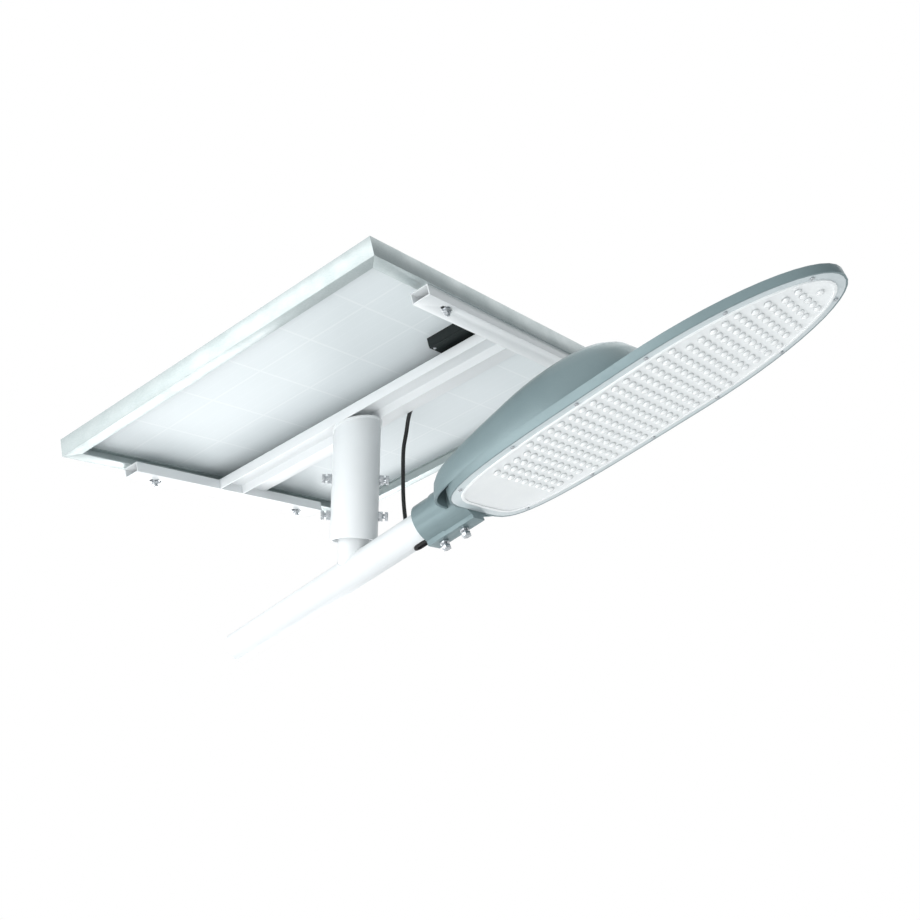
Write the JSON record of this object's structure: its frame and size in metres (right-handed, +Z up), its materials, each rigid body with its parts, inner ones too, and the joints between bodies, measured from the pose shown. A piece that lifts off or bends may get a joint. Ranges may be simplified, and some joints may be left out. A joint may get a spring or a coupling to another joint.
{
  "type": "solar street lamp",
  "caption": "Split solar street lamp: a tilted solar panel on a turning sleeve and a long LED head, both on one short pole arm that climbs away from the pole.",
  "frame": {"origin": "centre of the arm's open pole end", "axes": "+X level from the pole towards the lamp, +Z up, +Y across; the arm climbs 24 degrees in the XZ plane"},
  "size_m": [1.3107, 0.78, 0.6062],
  "materials": {
    "white_coat": "satin powder coat",
    "frame_metal": "fine matt anodised",
    "cast_coat": "satin grey powder coat on die casting",
    "steel": "stainless steel",
    "key_metal": "mill finish",
    "panel_glass": "tempered, faintly textured",
    "cells": "dark blue cells with thin silver lines",
    "back_sheet": "matt white film",
    "black_plastic": "fine moulded texture",
    "cable": "smooth black sheath",
    "rubber": "matt",
    "lens": "clear moulded lens sheet over a white board",
    "board": "white solder mask",
    "battery_wrap": "shrink sleeve",
    "tray": "mill finish",
    "strap": "woven rubber band",
    "controller_case": "fine textured"
  },
  "bodies": {
    "arm": {"arm_tube": "white_coat", "stub": "white_coat", "stub_cap": "white_coat", "cable_grommet": "rubber", "entry_grommet": "rubber", "cable_coupler": "black_plastic", "panel_cable": "cable"},
    "panel_unit": {"sleeve": "white_coat", "sleeve_cap": "white_coat", "sleeve_stop": "white_coat", "set_nuts": "steel", "set_screws": "steel", "beam_channel": "white_coat", "beam_strip": "white_coat", "rail_left": "white_coat", "rail_right": "white_coat", "rail_bolts": "steel", "rail_washers": "steel", "rail_nuts": "steel", "frame_near": "frame_metal", "frame_far": "frame_metal", "frame_left": "frame_metal", "frame_right": "frame_metal", "corner_keys": "key_metal", "glass": "panel_glass", "cell_sheet": "cells", "back_sheet": "back_sheet", "jbox_body": "black_plastic", "jbox_lid": "black_plastic", "jbox_screws": "steel", "jbox_gland": "black_plastic"},
    "lamp_head": {"head_base": "cast_coat", "head_cover": "cast_coat", "cover_screws": "steel", "clamp_bolts": "steel", "clamp_nuts": "steel", "lens_plate": "lens", "lens_gasket": "rubber", "lens_screws": "steel", "led_board": "board", "battery_tray": "tray", "battery_cells": "battery_wrap", "battery_strap": "strap", "controller": "controller_case", "lamp_lead": "cable"}
  },
  "joints": [
    {"name": "panel_turn", "type": "hinge", "parent": "arm", "child": "panel_unit", "pos_m": [0.2969, 0, 0.28219], "axis": [0, 0, 1], "range_deg": [-45, 45], "deforming": ["panel_cable"]},
    {"name": "head_roll", "type": "hinge", "parent": "arm", "child": "lamp_head", "pos_m": [0.52986, 0, 0.23591], "axis": [0.9135, 0, 0.4067], "range_deg": [-15, 15]}
  ]
}
